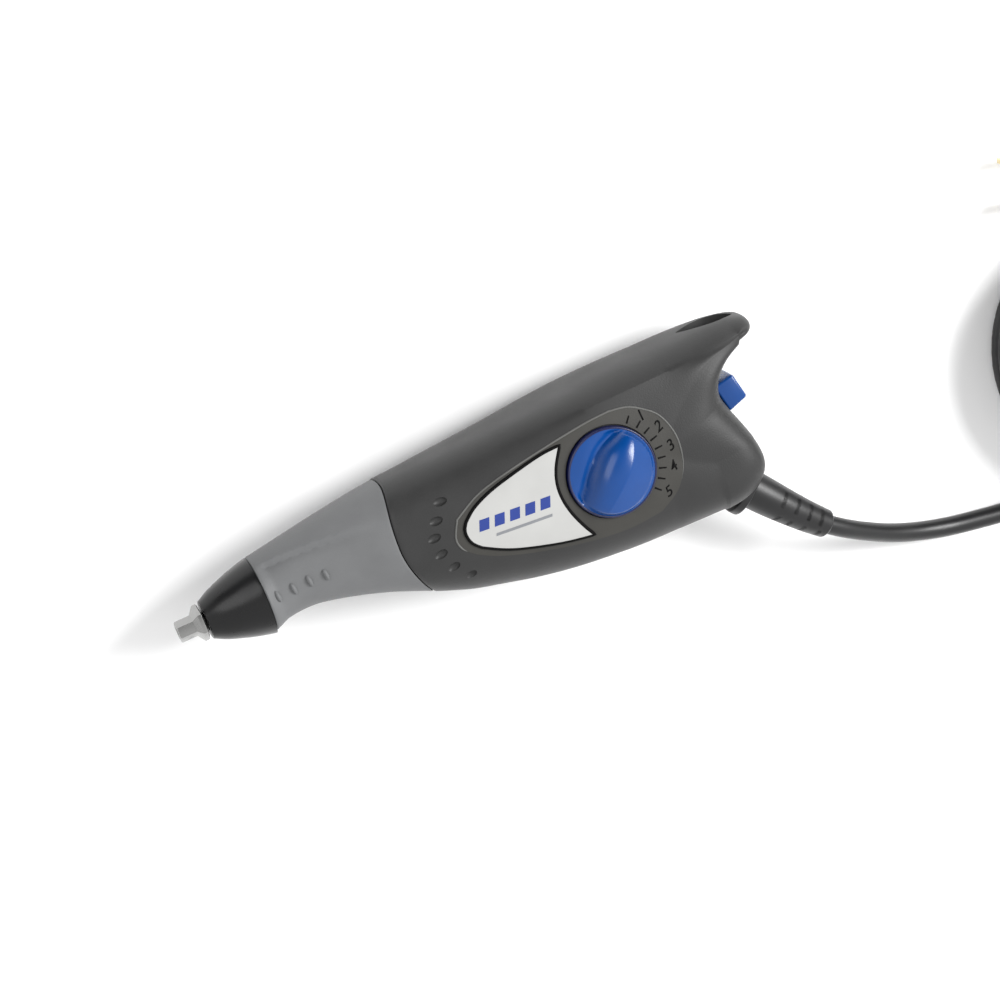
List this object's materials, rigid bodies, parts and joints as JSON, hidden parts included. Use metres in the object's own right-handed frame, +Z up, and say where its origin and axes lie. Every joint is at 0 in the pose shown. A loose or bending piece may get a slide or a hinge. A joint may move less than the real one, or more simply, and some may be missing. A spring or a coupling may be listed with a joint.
{
  "type": "electric engraver",
  "caption": "Hand-held electric engraver with a hexagonal chuck, rubber grip, round stroke dial, tail fin with a hang slot, rear power slide and a mains cord.",
  "frame": {"origin": "middle of the flat face on the right side that the tool rests on", "axes": "+X from the chuck to the tail fin along the hammer's axis, +Y to the tool's top, +Z up out of its left side, where the dial is"},
  "size_m": [0.3401, 0.1107, 0.0473],
  "materials": {
    "housing_plastic": "satin, fine grain",
    "grip_rubber": "matte soft-touch",
    "cone_plastic": "gloss",
    "blue_plastic": "semi-gloss",
    "plate_print": "satin silver white",
    "label_foil": "matt",
    "chuck_steel": "machined",
    "steel": "ground",
    "spring_steel": "drawn wire",
    "bronze": "sintered",
    "laminated_steel": "stacked sheet",
    "bobbin_nylon": "natural nylon",
    "copper": "enamelled wire",
    "white_acetal": "moulded",
    "black_rubber": "matt",
    "cord_pvc": "semi-matt",
    "black_plastic": "moulded",
    "brass": "stamped"
  },
  "bodies": {
    "housing": {"left_housing": "housing_plastic", "right_housing": "housing_plastic", "grip_sleeve": "grip_rubber", "nose_cone": "cone_plastic", "front_bush": "bronze", "rear_bush": "bronze", "return_spring": "spring_steel", "laminated_core": "laminated_steel", "core_screws": "steel", "coil_bobbin": "bobbin_nylon", "coil_winding": "copper", "pivot_bracket": "steel", "pivot_pin": "steel", "name_plate": "plate_print", "rating_plate": "label_foil", "switch_case": "black_plastic", "switch_terminals": "brass", "cord_clamp": "black_plastic", "cord_clamp_screws": "steel", "inner_cord": "cord_pvc", "coil_leads": "cord_pvc", "housing_screws": "steel", "strain_relief": "cord_pvc", "cord_run": "cord_pvc", "cord_coil": "cord_pvc", "cord_tail": "cord_pvc", "cord_tie": "black_plastic", "plug_body": "cord_pvc", "plug_blades": "brass"},
    "hammer": {"hammer_rod": "steel", "chuck": "chuck_steel", "chuck_screw": "steel", "rod_collar": "steel"},
    "armature": {"armature_plate": "laminated_steel", "armature_striker": "steel", "armature_rivets": "steel", "leaf_spring": "spring_steel"},
    "dial": {"dial_knob": "blue_plastic", "dial_cam": "white_acetal", "dial_screw": "steel"},
    "stroke_stop": {"stop_slider": "white_acetal", "stop_bumper": "black_rubber"},
    "power_slide": {"switch_button": "blue_plastic"}
  },
  "joints": [
    {"name": "hammer_slide", "type": "slide", "parent": "housing", "child": "hammer", "axis": [1, 0, 0], "range_m": [-0.001, 0.0005], "stiffness_N_per_m": 400, "deforming": ["return_spring"]},
    {"name": "armature_swing", "type": "hinge", "parent": "housing", "child": "armature", "pos_m": [-0.02995, -0.0146, 0.0216], "axis": [0, 0, 1], "range_deg": [-1.7, 3.2]},
    {"name": "dial_turn", "type": "hinge", "parent": "housing", "child": "dial", "pos_m": [0.0051, 0.0021, 0.0216], "axis": [0, 0, 1], "range_deg": [-84, 0]},
    {"name": "stop_slide", "type": "slide", "parent": "housing", "child": "stroke_stop", "axis": [1, 0, 0], "range_m": [0, 0.0015]},
    {"name": "power_slide_travel", "type": "slide", "parent": "housing", "child": "power_slide", "axis": [0.2402, -0.9707, 0], "range_m": [0, 0.005]}
  ],
  "couplings": [
    {"joint": "armature_swing", "follows": "hammer_slide", "rad_per_m": -51.02},
    {"joint": "stop_slide", "follows": "dial_turn", "m_per_rad": -0.00102}
  ]
}
